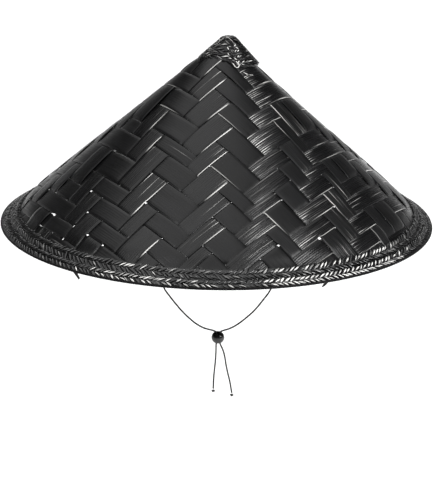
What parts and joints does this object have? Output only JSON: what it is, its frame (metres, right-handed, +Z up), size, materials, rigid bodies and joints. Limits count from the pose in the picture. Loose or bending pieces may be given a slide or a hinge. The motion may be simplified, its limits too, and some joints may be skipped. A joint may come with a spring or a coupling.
{
  "type": "conical bamboo hat",
  "caption": "Wide conical hat of black-painted woven bamboo with a braided cap on its peak, a plaited rim, an inner head ring and a thin chin cord gathered by a round bead.",
  "frame": {"origin": "middle of the head ring's lower edge, where the hat sits on a head", "axes": "+Z up through the peak, -Y towards the front, +X to the right of someone looking at the front"},
  "size_m": [0.47, 0.47, 0.3799],
  "materials": {
    "woven_strips": "satin",
    "plaited_straw": "satin",
    "rim_binding": "satin",
    "ring_bamboo": "matte",
    "chin_cord": "matte",
    "bead": "gloss"
  },
  "bodies": {
    "root": {"woven_cone": "woven_strips", "peak_cap": "plaited_straw", "rim_braid_upper": "plaited_straw", "rim_braid_lower": "plaited_straw", "edge_binding": "rim_binding", "binding_end_left": "rim_binding", "binding_end_right": "rim_binding", "head_ring": "ring_bamboo", "chin_cord_left": "chin_cord", "chin_cord_right": "chin_cord", "cord_bead": "bead", "ring_knot_left": "chin_cord", "ring_knot_right": "chin_cord", "tail_knot_left": "chin_cord", "tail_knot_right": "chin_cord"}
  },
  "joints": []
}
